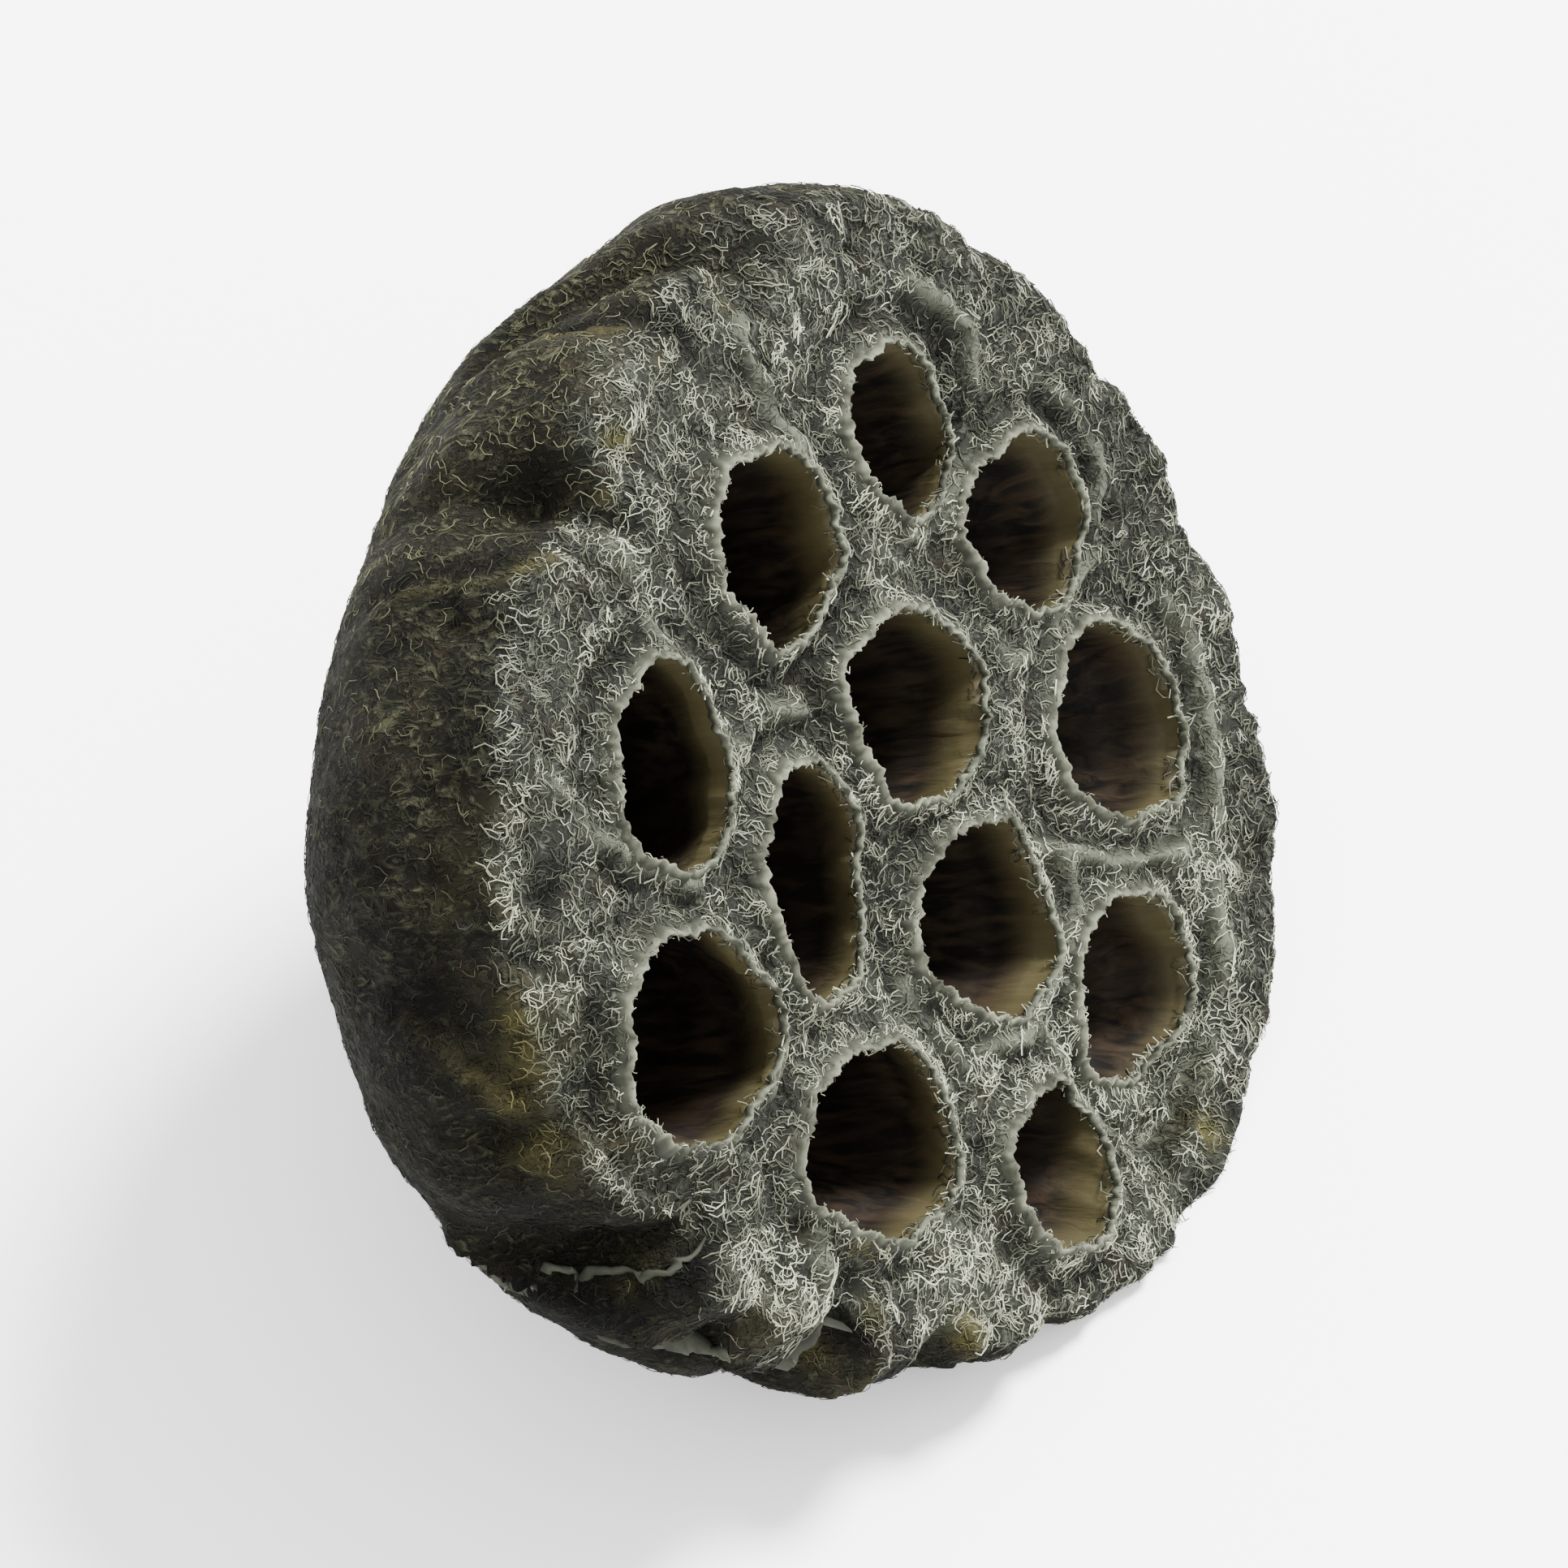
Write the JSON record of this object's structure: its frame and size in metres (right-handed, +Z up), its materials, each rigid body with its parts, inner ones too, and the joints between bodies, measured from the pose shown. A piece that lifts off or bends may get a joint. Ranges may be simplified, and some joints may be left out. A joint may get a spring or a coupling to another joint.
{
  "type": "dried lotus pod",
  "caption": "Dried seed pod of a lotus: a deep folded bowl with a nearly flat face full of empty round seed cells and a short stub of stem, lying on its flank.",
  "frame": {"origin": "on the surface it lies on, under the middle of its bounding box", "axes": "+Z up; the pod's face looks along -Y and upwards, its cut stem points along +Y and downwards; X runs across the face"},
  "size_m": [0.072, 0.0532, 0.0569],
  "materials": {
    "dried_skin": "dry, matt, grey-green felted skin, brown inside the cells"
  },
  "bodies": {
    "root": {"lotus_pod": "dried_skin"}
  },
  "joints": []
}
